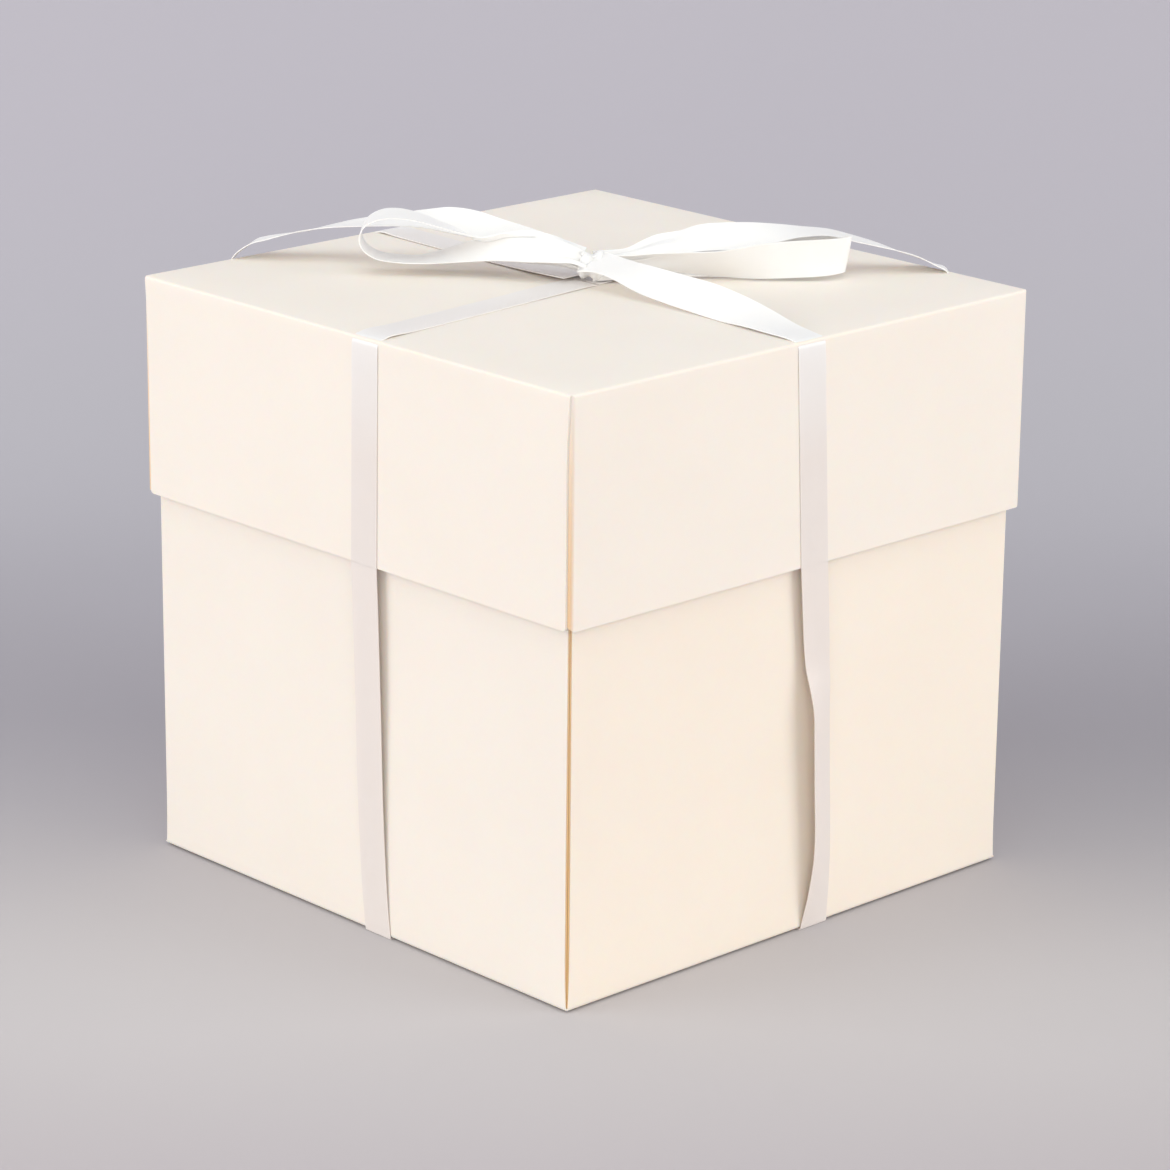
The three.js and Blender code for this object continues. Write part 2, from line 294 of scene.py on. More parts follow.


# where it lies on the card, the thin ribbon lets the ivory through; the darker tint is partly
# painted shade too
SATIN = satin_material("white_satin", (0.925, 0.92, 0.908), (0.82, 0.755, 0.715))


def tone_ramp(nodes, links, value, stops):
    """stops are (value, colour)"""
    made = nodes.new("ShaderNodeValToRGB")
    made.color_ramp.interpolation = "EASE"
    elements = made.color_ramp.elements
    while len(elements) < len(stops):
        elements.new(0.5)
    for element, (place, colour) in zip(elements, stops):
        element.position, element.color = place, (*colour, 1)
    links.new(value, made.inputs["Fac"])
    return made.outputs["Color"]


# The sweep's tone, with painted shade in its darker band behind the box where the floor curves up:
# how far along it, and its colour there
PAPER_AND_SHADE = (
    (0.0, (0.482, 0.44, 0.466)),
    (0.2, (0.562, 0.539, 0.55)),
    (0.44, (0.395, 0.379, 0.415)),
    (0.68, (0.46, 0.45, 0.49)),
    (0.85, (0.462, 0.443, 0.493)),
)
# How much darker its right half is, as a painted shadow of the box, and where that half begins
PAINTED_SHADOW = ((0.2, (0.05,) * 3), (0.35, (0.21,) * 3), (0.58, (0.04,) * 3))
PAINTED_SHADOW_SIDE = (0.5, 0.56)


def stage_material():
    """UVs: U along the sweep from the front, V across it from the left"""
    material, nodes, links, surface = shader("studio_sweep")
    _, along, across = split_uv(nodes, links)
    # the paper's tone along the sweep, with its painted shade
    paper = tone_ramp(nodes, links, along, PAPER_AND_SHADE)
    # painted shadow over the sweep's right half
    painted_shadow = tone_ramp(nodes, links, along, PAINTED_SHADOW)
    painted_shadow_share = math_node(nodes, links, "MULTIPLY", painted_shadow, spread(nodes, links, across, *PAINTED_SHADOW_SIDE))
    tone = mixed_colour(nodes, links, painted_shadow_share, paper, (0, 0, 0))
    links.new(tone, surface.inputs["Base Color"])
    place = nodes.new("ShaderNodeTexCoord").outputs["Object"]
    grain = noise(nodes, links, place, scale=600, detail=3)
    links.new(bump(nodes, links, grain, distance=0.05 * MM, strength=0.3), surface.inputs["Normal"])
    surface.inputs["Roughness"].default_value = 0.9
    surface.inputs["Specular IOR Level"].default_value = 0.1
    # its faces turn their backs to the box; from the other side the sweep can be seen through
    clear = nodes.new("ShaderNodeBsdfTransparent")
    either = nodes.new("ShaderNodeMixShader")
    links.new(nodes.new("ShaderNodeNewGeometry").outputs["Backfacing"], either.inputs["Fac"])
    links.new(clear.outputs["BSDF"], either.inputs[1])
    links.new(surface.outputs["BSDF"], either.inputs[2])
    links.new(either.outputs["Shader"], nodes["Material Output"].inputs["Surface"])
    return material


WELD = 0.002 * MM  # vertices closer than this are one
SHARP = 40  # degrees between faces that meet at a sharp edge


def make_mesh(name, vertices, faces, materials, uvs, face_slots, marks):
    mesh = bpy.data.meshes.new(name)
    mesh.from_pydata([tuple(v) for v in vertices], [], faces)
    for material in materials:
        mesh.materials.append(material)
    mesh.polygons.foreach_set("material_index", face_slots)
    loops = np.empty(len(mesh.loops), dtype=np.int32)
    mesh.loops.foreach_get("vertex_index", loops)
    uv_layer = mesh.uv_layers.new(name="UVMap")
    uv_layer.data.foreach_set("uv", np.asarray(uvs, dtype=np.float32)[loops].ravel())
    mark = mesh.attributes.new("mark", "FLOAT", "CORNER")
    mark.data.foreach_set("value", np.asarray(marks, dtype=np.float32)[loops])
    work = bmesh.new()
    work.from_mesh(mesh)
    bmesh.ops.remove_doubles(work, verts=work.verts, dist=WELD)
    bmesh.ops.recalc_face_normals(work, faces=work.faces)
    work.to_mesh(mesh)
    work.free()
    mesh.shade_smooth()
    mesh.set_sharp_from_angle(angle=math.radians(SHARP))
    mesh.validate()
    piece = bpy.data.objects.new(name, mesh)
    bpy.context.collection.objects.link(piece)
    return piece


class Shell:
    """Vertices and faces of one piece, filled patch by patch."""

    def __init__(self):
        self.vertices, self.faces, self.slots, self.uvs, self.marks = [], [], [], [], []

    def grid(self, points, slot=0, uvs=None, marks=0.0, flip=False):
        """points is a table [row][column] of positions; marks is one number or such a table"""
        points = np.asarray(points, dtype=float)
        rows, columns = points.shape[:2]
        first = len(self.vertices)
        self.vertices.extend(points.reshape(-1, 3))
        if uvs is None:
            uvs = np.zeros((rows, columns, 2))
        self.uvs.extend(np.asarray(uvs, dtype=float).reshape(-1, 2))
        self.marks.extend(np.broadcast_to(np.asarray(marks, dtype=float), (rows, columns)).ravel())
        for i in range(rows - 1):
            for j in range(columns - 1):
                a = first + i * columns + j
                quad = (a, a + 1, a + columns + 1, a + columns)
                self.faces.append(quad[::-1] if flip else quad)
                self.slots.append(slot)

    def polygon(self, points, slot=0):
        first = len(self.vertices)
        self.vertices.extend(np.asarray(points, dtype=float))
        self.uvs.extend(np.zeros((len(points), 2)))
        self.marks.extend(np.zeros(len(points)))
        self.faces.append(tuple(range(first, first + len(points))))
        self.slots.append(slot)

    def turned(self, matrix):
        other = Shell()
        other.faces, other.slots = list(self.faces), list(self.slots)
        other.uvs, other.marks = list(self.uvs), list(self.marks)
        other.vertices = [np.array(matrix @ Vector(v)) for v in self.vertices]
        return other

    def join(self, other):
        first = len(self.vertices)
        self.vertices.extend(other.vertices)
        self.uvs.extend(other.uvs)
        self.marks.extend(other.marks)
        self.faces.extend(tuple(first + i for i in face) for face in other.faces)
        self.slots.extend(other.slots)

    def edge(self, a, b):
        """The card's cut edge between two matching lines of points"""
        self.grid(np.stack((a, b)), slot=1)

    def piece(self, name, materials):
        tables = self.uvs, self.slots, self.marks
        return make_mesh(name, self.vertices, self.faces, materials, *tables)


def turn(degrees):
    return Matrix.Rotation(math.radians(degrees), 4, "Z")


def thick_panel(outer, inner):
    """A closed sheet between two matching tables of points, with cut edges all round"""
    shell = Shell()
    outer, inner = np.asarray(outer, float), np.asarray(inner, float)
    shell.grid(outer)
    shell.grid(inner, flip=True)
    for line in (np.s_[0], np.s_[-1], np.s_[:, 0], np.s_[:, -1]):
        shell.edge(outer[line], inner[line])
    return shell


def quarter(steps):
    """Angles from 0 to a right angle"""
    return [math.pi / 2 * i / steps for i in range(steps + 1)]


def shares(*stretches):
    """Numbers from 0 to 1; each stretch is where it ends and how many steps it takes"""
    found = [0.0]
    for end, steps in stretches:
        found.extend(np.linspace(found[-1], end, steps + 1)[1:])
    return found


def rounded_off(radius, from_end):
    """What a rounded corner takes off a side, at a distance from the side's end"""
    return radius - math.sqrt(radius**2 - max(0.0, radius - from_end) ** 2)


COLUMNS = np.linspace(-1, 1, 21)  # places across a panel, in halves of its width
FOLD = 0.8 * MM  # outer radius of a fold
CORNER = 0.9 * MM  # outer radius of the fold that runs down a lid's corner
TURNS = quarter(5)  # steps round both folds
SIDE_SHARES = shares((0.2, 6), (0.97, 8), (1, 6))  # steps down a lid's side
CORNER_LIFT = 0.8  # how far the corner's fold rises at its lower end, in its radii
BEVEL = 0.5  # how far a cut end slants, in the card's thickness
BEVEL_GROWTH = 20  # it is full after one part in so many of the side's depth
TAB_SHARES = shares((1, 6))  # steps over a tab's width
TAB_SLANT = (1.5 * MM, 4 * MM)  # what a tab loses above and below past its fold, and over its width
GROOVE_SHADE = 0.8  # how much painted warm shade lies in the groove beside a lid's corner, for light bounced round inside it
GROOVE_SHADE_FADE = (2 * MM, 45 * MM)  # where it begins under the fold, and how long it takes to be full
GROOVE_SHADE_POWER = 0.6  # below 1 it comes quickly at first
CORNER_SHADE = (0, 0.2, 0.45, 0.75, 0.95, 1)  # how much of that painted shade reaches each step round the corner


def top_fold(half, top, angle, inside):
    """How far out and how high the fold under a lid's top lies"""
    radius = FOLD - inside
    return half - FOLD + radius * math.sin(angle), top - FOLD + radius * math.cos(angle)


def plain_side(half, top, bottom, gap):
    """The side of a folded lid that ends in cuts"""
    depth = top - FOLD - bottom
    tables = []
    for inside in (0.0, CARD):
        table = []
        for angle in TURNS:
            out, z = top_fold(half, top, angle, inside)
            reach = half - FOLD + (FOLD - gap(0)) * math.sin(angle)
            table.append([(out, s * reach, z) for s in COLUMNS])
        for share in SIDE_SHARES[1:]:
            above = (1 - share) * depth
            bevel = BEVEL * inside * min(1.0, BEVEL_GROWTH * share)
            reach = half - gap(share * depth) - rounded_off(CORNER, above) + bevel
            table.append([(half - inside, s * reach, bottom + above) for s in COLUMNS])
        tables.append(np.array(table))
    outer, inner = tables
    shell = Shell()
    shell.grid(outer, flip=True)
    shell.grid(inner)
    shell.edge(outer[-1], inner[-1])
    for end in (0, -1):
        shell.edge(outer[:, end], inner[:, end])
    return shell


def groove_shade_at(below):
    """How much painted warm shade lies in the groove, at a depth under the top's fold"""
    start, length = GROOVE_SHADE_FADE
    return GROOVE_SHADE * max(0.0, min(1.0, (below - start) / length)) ** GROOVE_SHADE_POWER


def folded_side(half, top, bottom, tab):
    """The side of a folded lid that folds on round its corners into tabs"""
    depth = top - FOLD - bottom
    middle, tall = (top + bottom) / 2, (top - bottom) / 2
    tables, tabs, painted_shades, tab_painted_shades = [], [], [], []
    for inside in (0.0, CARD):
        # each level line: distance out, height, how far the corner's fold has opened, depth
        levels = [(*top_fold(half, top, angle, inside), math.sin(angle), 0.0) for angle in TURNS]
        for share in SIDE_SHARES[1:]:
            levels.append((half - inside, bottom + (1 - share) * depth, 1.0, share * depth))
        table, tab_table, painted_shade, tab_painted_shade = [], [], [], []
        for i, (out, z, opened, below) in enumerate(levels):
            radius = max(CORNER * opened - inside, 0.0)
            face_end = half - FOLD - (CARD + CORNER - FOLD) * opened
            near_end = max(0.0, 1 - (z - bottom) / CORNER)
            arc = []
            for angle in TURNS:
                lift = CORNER_LIFT * CORNER * near_end * math.sin(angle)
                x, y = out - radius * (1 - math.cos(angle)), face_end + radius * math.sin(angle)
                arc.append((x, y, z + lift))
            face = [(out, s * face_end, z) for s in COLUMNS[1:-1]]
            table.append([(x, -y, h) for x, y, h in arc[::-1]] + face + arc)
            # painted warm shade in the groove, round the corner's fold and on the tab behind it
            shade_here = groove_shade_at(below)
            arc_painted_shade = [shade_here * w for w in CORNER_SHADE]
            painted_shade.append(arc_painted_shade[::-1] + [0] * len(face) + arc_painted_shade)
            if i >= len(TURNS) - 1:
                x, y, h = arc[-1]
                row = []
                for d in TAB_SHARES:
                    slim = 1 - (TAB_SLANT[0] * (d > 0) + TAB_SLANT[1] * d) / tall
                    row.append((x - tab * d, y, middle + (h - middle) * slim))
                tab_table.append(row)
                tab_painted_shade.append([shade_here] * len(row))
        tables.append(np.array(table))
        tabs.append(np.array(tab_table))
        painted_shades.append(painted_shade)
        tab_painted_shades.append(tab_painted_shade)
    outer, inner = tables
    shell = Shell()
    shell.grid(outer, marks=painted_shades[0], flip=True)
    shell.grid(inner)
    shell.edge(outer[-1], inner[-1])
    for end in (0, -1):
        shell.edge(outer[: len(TURNS), end], inner[: len(TURNS), end])
    for mirror in (1, -1):
        outer, inner = (table * [1, mirror, 1] for table in tabs)
        shell.grid(outer, marks=tab_painted_shades[0], flip=mirror > 0)
        shell.grid(inner, flip=mirror < 0)
        for line in (np.s_[0], np.s_[-1], np.s_[:, -1]):
            shell.edge(outer[line], inner[line])
    return shell


def folded_lid(half, top, bottom, gap, tab):
    """A lid folded from one sheet, as its outer and inner faces.

    Its right and left sides fold on round the corners into a tab, which lies behind the end of
    the front or back side. gap(depth) is how far that side's cut end stays from the corner.
    """
    places = COLUMNS * (half - FOLD)
    flat = np.array([[(x, y, top) for x in places] for y in places])
    shell = Shell()
    shell.grid(flat)
    shell.grid(flat - [0, 0, CARD], flip=True)
    plain = plain_side(half, top, bottom, gap)
    folded = folded_side(half, top, bottom, tab)
    for shape, side in ((plain, "front"), (plain, "back"), (folded, "right"), (folded, "left")):
        shell.join(shape.turned(turn(SIDES[side])))
    return shell


LID_TAB, SMALL_TAB = 14 * MM, 7 * MM  # widths of the tabs
SMALL_GAP = 1.1 * MM  # from the small box's corners to its sides' cut ends
LID_GAP = (0.9, 0.8)  # the same on the lid at its top, and what it gains further down
LID_GAP_DEPTH = 14 * MM  # how far down it gains


def lid_gap(depth):
    """The front side's end starts close to the corner and soon stands back from it"""
    start, gain = LID_GAP
    return (start + gain * min(1.0, depth / LID_GAP_DEPTH)) * MM


def dress(piece, body, *nodes):
    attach(piece, body)
    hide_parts(*nodes)


lid_nodes = [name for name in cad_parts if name.startswith("lid_")]
lid = folded_lid(LID_HALF, LID_TOP, SKIRT_BOTTOM, lid_gap, LID_TAB)
dress(lid.piece("lid_card", [CARD_FACE, CARD_EDGE]), "lid", *lid_nodes)

END_GAP = 0.98  # from a layer's corner to its walls' cut ends
END_LEAN = (0.14, 100)  # the ends come this much closer towards the top, over this height
END_ROOT = (0.42, 6.0)  # and this much closer at the crease, which fades over this height


def wall_reach(height):
    """How far a wall's cut end lies from the layer's corner, at a height over its crease"""
    up = height / MM
    lean = END_LEAN[0] * min(1.0, up / END_LEAN[1])
    root = END_ROOT[0] * math.exp(-up / END_ROOT[1])
    return (END_GAP - lean - root) * MM


CORE_GAP = 0.54 * MM  # from the layer's corner to the core of a wall's cut end
CORE_DEPTH = 0.3 * MM  # how far that core lies behind the wall's face
WALL_SHARES = shares((0.12, 8), (0.94, 15), (1, 8))  # steps up a wall
WALL_CORNER = 2.2 * MM  # radius of a wall's upper corners
SLIT_SHADE_LOSS = 0.3  # how much less painted warm shade the slit's cut ends get at a wall's top
CREASE_STEPS = 6
CREASE_COLUMNS = np.linspace(-1, 1, 9)  # places along a crease, in halves of its length
MITRE = 0.02 * MM  # how far a crease's end stays from the layer's diagonal
SCORED = 0.25  # the power that makes a crease's inner side nearly sharp, as the score leaves it


def wall_shell(half, rows):
    """An upright wall whose cut ends step back to the card's core.

    Each row is (height, reach, the core's reach, painted shade); the last is how much painted warm
    shade lies on the step in the cut end.
    """
    shell = Shell()
    face = [[(half, s * reach, z) for s in COLUMNS] for z, reach, core, painted_shade in rows]
    back = [[(half - CARD, s * core, z) for s in COLUMNS] for z, reach, core, painted_shade in rows]
    shell.grid(face)
    shell.grid(back, flip=True)
    behind = half - CORE_DEPTH
    for s in (-1, 1):
        skin, step = [], []
        for z, reach, core, painted_shade in rows:
            skin.append([(half, s * reach, z), (behind, s * reach, z)])
            step.append([(behind, s * reach, z), (behind, s * core, z), (half - CARD, s * core, z)])
        shell.grid(skin, slot=1)
        # painted warm shade on the step in the cut end
        shell.grid(step, marks=[[painted_shade] * 3 for z, reach, core, painted_shade in rows])
    for i in (0, -1):
        z, reach, core, painted_shade = rows[i]
        ends = [[(behind, s * reach, z), (behind, s * core, z)] for s in (1, -1)]
        shell.polygon(face[i] + ends[0] + back[i][::-1] + ends[1][::-1], slot=1)
    return shell


def crease_shell(half, level):
    """The crease between a floor and an upright wall"""
    centre, tight = half - FOLD, FOLD - CARD
    outer, inner = [], []
    for angle in quarter(CREASE_STEPS):
        sine, cosine = math.sin(angle), math.cos(angle)
        reach, z = half - FOLD * (1 - sine) - MITRE, level + FOLD - FOLD * cosine
        outer.append([centre + FOLD * sine, reach, z])
        reach, z = centre + tight * sine - MITRE, level + FOLD - tight * max(0.0, cosine) ** SCORED
        inner.append([centre + tight * sine**SCORED, reach, z])
    # the last row meets the wall's cut end
    outer[-1][1] = half - wall_reach(0)
    inner[-1][1] = min(outer[-1][1], half - CARD)

    def table(rows):
        return [[(x, s * y, z) for s in CREASE_COLUMNS] for x, y, z in rows]

    return thick_panel(table(outer), table(inner))


def layer_wall(layer, side):
    """One flap of a layer and its crease, in the flap's upright place"""
    node_name = f"{layer}_wall_{side}"
    low, high = (Vector(c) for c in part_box(node_name))
    axis = 0 if side in ("right", "left") else 1
    half, level = max(abs(low[axis]), abs(high[axis])), low.z
    bottom = level + FOLD
    height = high.z - bottom
    rows = []
    for share in WALL_SHARES:
        up = share * height
        end = half - rounded_off(WALL_CORNER, height - up)
        core = end - min(CORE_GAP, wall_reach(up))
        # the last number is the painted warm shade in the slit, less towards the wall's top
        rows.append((bottom + up, end - wall_reach(up), core, 1 - SLIT_SHADE_LOSS * share))
    shell = wall_shell(half, rows).turned(turn(SIDES[side]))
    materials = [CARD_WARM if node_name == "outer_wall_right" else CARD_FACE, CARD_EDGE]
    wall = shell.piece(f"{node_name}_card", materials)
    dress(wall, f"{layer}_{side}", node_name)

    shell = crease_shell(half, level).turned(turn(SIDES[side]))
    crease = shell.piece(f"{layer}_crease_{side}", materials)
    outward = turn(SIDES[side]) @ Vector((1, 0, 0))
    end = outward * (half - CARD) + Vector((0, 0, level + FOLD))
    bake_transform(crease)


for layer in LAYERS:
    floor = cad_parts[f"{layer}_floor"]
    for material_slot in floor.material_slots:
        material_slot.material = CARD_FACE
    for side in SIDES:
        layer_wall(layer, side)


def small_box():
    """A tray, which is folded as a lid is and turned over, and its cover"""

    def gap(depth):
        return SMALL_GAP

    low, high = (Vector(c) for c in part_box("gift_tray"))
    over = Matrix.Translation((0, 0, high.z)) @ Matrix.Rotation(math.pi, 4, "X")
    tray = folded_lid(high.x, high.z - low.z, 0, gap, SMALL_TAB).turned(over)
    dress(tray.piece("gift_tray_card", [CARD_FACE, CARD_EDGE]), "base", "gift_tray")
    low, high = (Vector(c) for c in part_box("gift_lid"))
    cover = folded_lid(high.x, high.z, low.z, gap, SMALL_TAB)
    dress(cover.piece("gift_lid_card", [CARD_FACE, CARD_EDGE]), "gift_lid", "gift_lid")


small_box()


def line_lengths(points):
    """The distance to each point along the line through them"""
    steps = np.linalg.norm(np.diff(points, axis=0), axis=1)
    return np.concatenate(([0.0], np.cumsum(steps)))


def smooth(points, steps):
    """A centripetal spline through points; their first three numbers are a place"""
    points = np.asarray(points, dtype=float)
    padded = np.vstack((2 * points[0] - points[1], points, 2 * points[-1] - points[-2]))
    gaps = np.linalg.norm(np.diff(padded[:, :3], axis=0), axis=1) ** 0.5
    knots = np.concatenate(([0.0], np.cumsum(gaps)))

    def mixed(a, b, start, end, u):
        return ((end - u) * a + (u - start) * b) / (end - start)

    found = []
    for i in range(len(points) - 1):
        p, t = padded[i : i + 4], knots[i : i + 4]
        places = np.linspace(t[1], t[2], steps + 1)
        for u in places[:-1] if i < len(points) - 2 else places:
            a = [mixed(p[k], p[k + 1], t[k], t[k + 1], u) for k in range(3)]
            b = [mixed(a[k], a[k + 1], t[k], t[k + 2], u) for k in range(2)]
            found.append(mixed(*b, t[1], t[2], u))
    return np.array(found)


def unit(vectors):
    """The vectors, each made one long"""
    tiny = 1e-12
    return vectors / np.maximum(np.linalg.norm(vectors, axis=-1, keepdims=True), tiny)


ACROSS = np.linspace(-0.5, 0.5, 21)  # places across a ribbon, in its widths
FOLDS = 1.5  # folds across a ribbon that is drawn in
FOLD_SHIFT = 0.6  # how far they lie off its middle, in radians
LEAST_FOLD = 0.001 * MM  # lower folds are left out
HALVINGS = 24  # steps of the search for their height


def cross_section(width, cup):
    """How far a ribbon stands out across its width: a cup, and folds that take up its cloth"""
    arch = cup * (1 - (2 * ACROSS) ** 2)
    wave = np.cos(FOLDS * 2 * math.pi * ACROSS + FOLD_SHIFT)
    low, high = 0.0, RIBBON_WIDTH / 2
    for _ in range(HALVINGS):
        height = (low + high) / 2
        length = np.hypot(width * np.diff(ACROSS), np.diff(arch + height * wave)).sum()
        low, high = (height, high) if length < RIBBON_WIDTH else (low, height)
    return arch + (low * wave if low > LEAST_FOLD else 0)


def ribbon(name, rows, matrix, marks=0.0):
    """A length of ribbon, and how long it is.

    Each row is (centre, across, width, cup), in millimetres. marks tells for each row how far
    the card under it shows through, and on the bands also painted shade and a painted highlight.
    """
    centres, across, widths, cups = (np.array(part) for part in zip(*rows))
    centres, widths, cups = centres * MM, widths * MM, cups * MM
    forward = unit(np.gradient(centres, axis=0))
    normals = unit(np.cross(forward, across))
    bulge = np.array([cross_section(width, cup) for width, cup in zip(widths, cups)])
    spans = (widths[:, None] * ACROSS)[..., None]
    surface = centres[:, None] + across[:, None] * spans + normals[:, None] * bulge[..., None]
    local = unit(np.cross(np.gradient(surface, axis=0), np.gradient(surface, axis=1)))
    top = surface + local * RIBBON_THICKNESS / 2
    bottom = surface - local * RIBBON_THICKNESS / 2
    along = line_lengths(centres) / RIBBON_WIDTH
    uv = np.stack(np.broadcast_arrays(along[:, None], ACROSS + 0.5), axis=-1)
    marks = np.broadcast_to(np.asarray(marks, dtype=float), (len(rows),))
    shell = Shell()
    shell.grid(top, uvs=uv, marks=marks[:, None])
    shell.grid(bottom, uvs=uv, marks=marks[:, None], flip=True)
    for side in (0, -1):
        edge = np.stack((top[:, side], bottom[:, side]))
        shell.grid(edge, uvs=np.stack((uv[:, side],) * 2), marks=marks)
    for end in (0, -1):
        edge = np.stack((top[end], bottom[end]))
        shell.grid(edge, uvs=np.stack((uv[end],) * 2), marks=marks[end])
    piece = shell.turned(matrix).piece(name, [SATIN])
    threads = np.linalg.norm(np.diff(surface, axis=0), axis=2).sum(axis=0)
    return piece, float(threads.max())


BOW_STEPS, BAND_STEPS = 8, 5  # rows from one station to the next
LONG_ROWS = 61  # rows of the pieces that have no stations
STATION = 7  # numbers in a full station of the bow


def bow_rows(stations):
    table = [tuple(s) + (0.0,) * (STATION - len(s)) for s in stations]
    rows = []
    for x, y, z, tilt, width, cup, lean in smooth(table, BOW_STEPS):
        a, b = math.radians(tilt), math.radians(lean)
        across = (math.sin(b), math.cos(b) * math.cos(a), math.cos(b) * math.sin(a))
        rows.append(((x, y, z), across, width, cup))
    return rows


BOW_AZIMUTH = 45  # along the lid's diagonal
BOW = Matrix.Translation((0, 0, LID_TOP)) @ turn(BOW_AZIMUTH)

# Stations of the bow's pieces: along, across, height, tilt in degrees, width, and where they
# aren't 0 also cup and lean in degrees
LEFT_LOOP = [
    (0, -1.2, 6.2, 32, 7),
    (-3.5, -0.8, 7.9, 34, 8),
    (-8, 0.8, 8.7, 41, 9.3, 0.3),
    (-15, 3, 9, 46, 10, 0.5),
    (-24.6, 5.9, 7.9, 33, 10, 0.4),
    (-35, 8, 5.6, 16, 10, 0.2),
    (-44, 8, 3.9, 2, 10, 0.1),
    (-51, 8, 3.9, 0, 10, 0.1),
    (-57, 8, 4.9, 0, 10),
    (-60.6, 8, 7.6, 0, 10),
    (-61.3, 8, 10.8, 0, 10),
    (-59.6, 8, 14, 2, 10),
    (-56, 8.2, 15.9, 4, 10),
    (-51.5, 8.4, 16.3, 4, 10),
    (-46, 8.7, 15.4, 1, 10),
    (-40.5, 9, 13.6, -3, 10),
    (-34, 9.6, 11.2, -9, 10),
    (-28, 10.2, 8.3, -28, 10),
    (-22, 9.6, 7.3, -60, 10),
    (-14, 6.5, 7.2, -78, 8.5),
    (-8, 3.6, 6.9, -86, 7),
    (0, 0.5, 5.4, -88, 6),
]
RIGHT_LOOP = [
    (2, -1, 4.4, 85, 6),
    (7, -0.2, 4.2, 95, 7),
    (13, 1.4, 4.1, 108, 8),
    (20, 2.8, 4.3, 120, 9.5),
    (28, 3.4, 4.5, 125, 10),
    (37, 3.8, 4.8, 123, 10),
    (47, 4.2, 5.5, 100, 10, -0.3),
    (56, 5.6, 5.9, 84, 10, -0.5),
    (62, 6.4, 6.1, 80, 10, -0.5, 1),
    (67, 7.6, 6.3, 84, 10, -0.3, 5),
    (70.8, 9.9, 6.5, 90, 10, -0.1, 9),
    (71.2, 12.6, 6.2, 90, 10, 0.1, 9),
    (67.5, 14.4, 5.6, 84, 10, 0.2, 4),
    (52, 12.4, 5, 66, 10),
    (38, 10.6, 4.5, 50, 10),
    (26, 8.4, 4, 38, 10),
    (14, 4.6, 3.4, 40, 8),
    (2, 0.6, 2.6, 50, 6),
]
LEFT_TAIL = [
    (0, 1.8, 6, 80, 6),
    (-4, 3.6, 6.8, 80, 6.5),
    (-9, 6.4, 7.2, 72, 7.8),
    (-15, 10.8, 7.8, 54, 9.5, 0.2),
    (-22.3, 16.4, 9.4, 34, 10, 0.3),
    (-31, 19.6, 11.2, 36, 10, 0.3),
    (-37.5, 20.6, 12, 32, 10, 0.3),
    (-43, 21.5, 12.1, 20, 10, 0.2),
    (-51.4, 22.3, 11.6, 9, 10, 0.1),
    (-64, 23.3, 10.2, -1, 10, 0.1),
    (-71, 24, 9, -8, 10),
    (-78.4, 24, 7.5, -13, 10),
    (-84, 24, 6.4, -9.5, 10),
    (-89, 24.3, 5.2, -6, 10),
    (-91.8, 24.8, 4.3, -7, 10),
    (-94.6, 25.2, 2.4, -11, 10),
    (-97.2, 25.8, 0.2, -10, 10),
    (-99, 26.4, -3, -4, 10),
    (-99.7, 26.8, -9, 0, 10),
]
RIGHT_TAIL = [
    (2, 1, 5.4, 40, 6.5),
    (6, 2, 6, 22, 7),
    (11, 3.8, 6.8, 8, 8),
    (14.7, 4.8, 7.8, 16, 9),
    (19, 5.8, 9, 24, 9.5),
    (25.5, 7, 9.9, 26, 10, 0.2),
    (31, 8.2, 10.9, 34, 10, 0.2),
    (42, 10.5, 11.2, 33, 10, 0.3),
    (51, 12.8, 11.4, 19, 10, 0.3),
    (58, 15, 11.5, 5, 10, 0.2),
    (66, 18, 10.8, -2, 10, 0.1),
    (72.3, 19.8, 9, -3, 10),
    (80, 20.6, 6.9, -7, 10),
    (85.6, 20.8, 5.2, -12.5, 10),
    (90.5, 21, 3.7, -13, 10),
    (95.6, 21.6, 1.4, -10, 10),
    (98.6, 22.3, 0, -6, 10),
    (100.2, 23, -3, -3, 10),
    (100.8, 23.4, -9, 0, 10),
]


def bow_piece(name, stations, node):
    piece, length = ribbon(name, bow_rows(stations), BOW)
    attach(piece, "ribbon")
    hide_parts(node)


bow_piece("bow_loop_left_satin", LEFT_LOOP, "bow_loop_left")
bow_piece("bow_loop_right_satin", RIGHT_LOOP, "bow_loop_right")
bow_piece("bow_tail_left_satin", LEFT_TAIL, "bow_tail_left")
bow_piece("bow_tail_right_satin", RIGHT_TAIL, "bow_tail_right")


def bow_knot():
    """The ribbon's turn around the middle of the bow, its ends below"""
    centre, radius = np.array((2.2, 0.7, 4.5)), 1.7
    width, cup = 7.2, -2.1
    wander, wander_lag = 0.5, 0.8  # along the bow, as it goes round
    askew, askew_lag, slope = 0.16, 0.4, 0.1
    rows = []
    for angle in np.linspace(math.pi, 3 * math.pi, LONG_ROWS):
        along = wander * math.sin(angle + wander_lag)
        place = centre + (along, radius * math.sin(angle), radius * math.cos(angle))
        aside = askew * math.cos(angle + askew_lag)
        across = Vector((1, aside, slope * math.sin(angle))).normalized()
        rows.append((place, tuple(across), width, cup))
    piece, length = ribbon("bow_knot_satin", rows, BOW)
    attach(piece, "ribbon")
    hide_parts("bow_knot")


bow_knot()

# Each band's place along its side where it crosses the lid's and the skirt's edge
BANDS = {"front": (7.5, 6.7), "right": (0, 3.1), "back": (7.5, 6.7), "left": (-2.5, 3.1)}
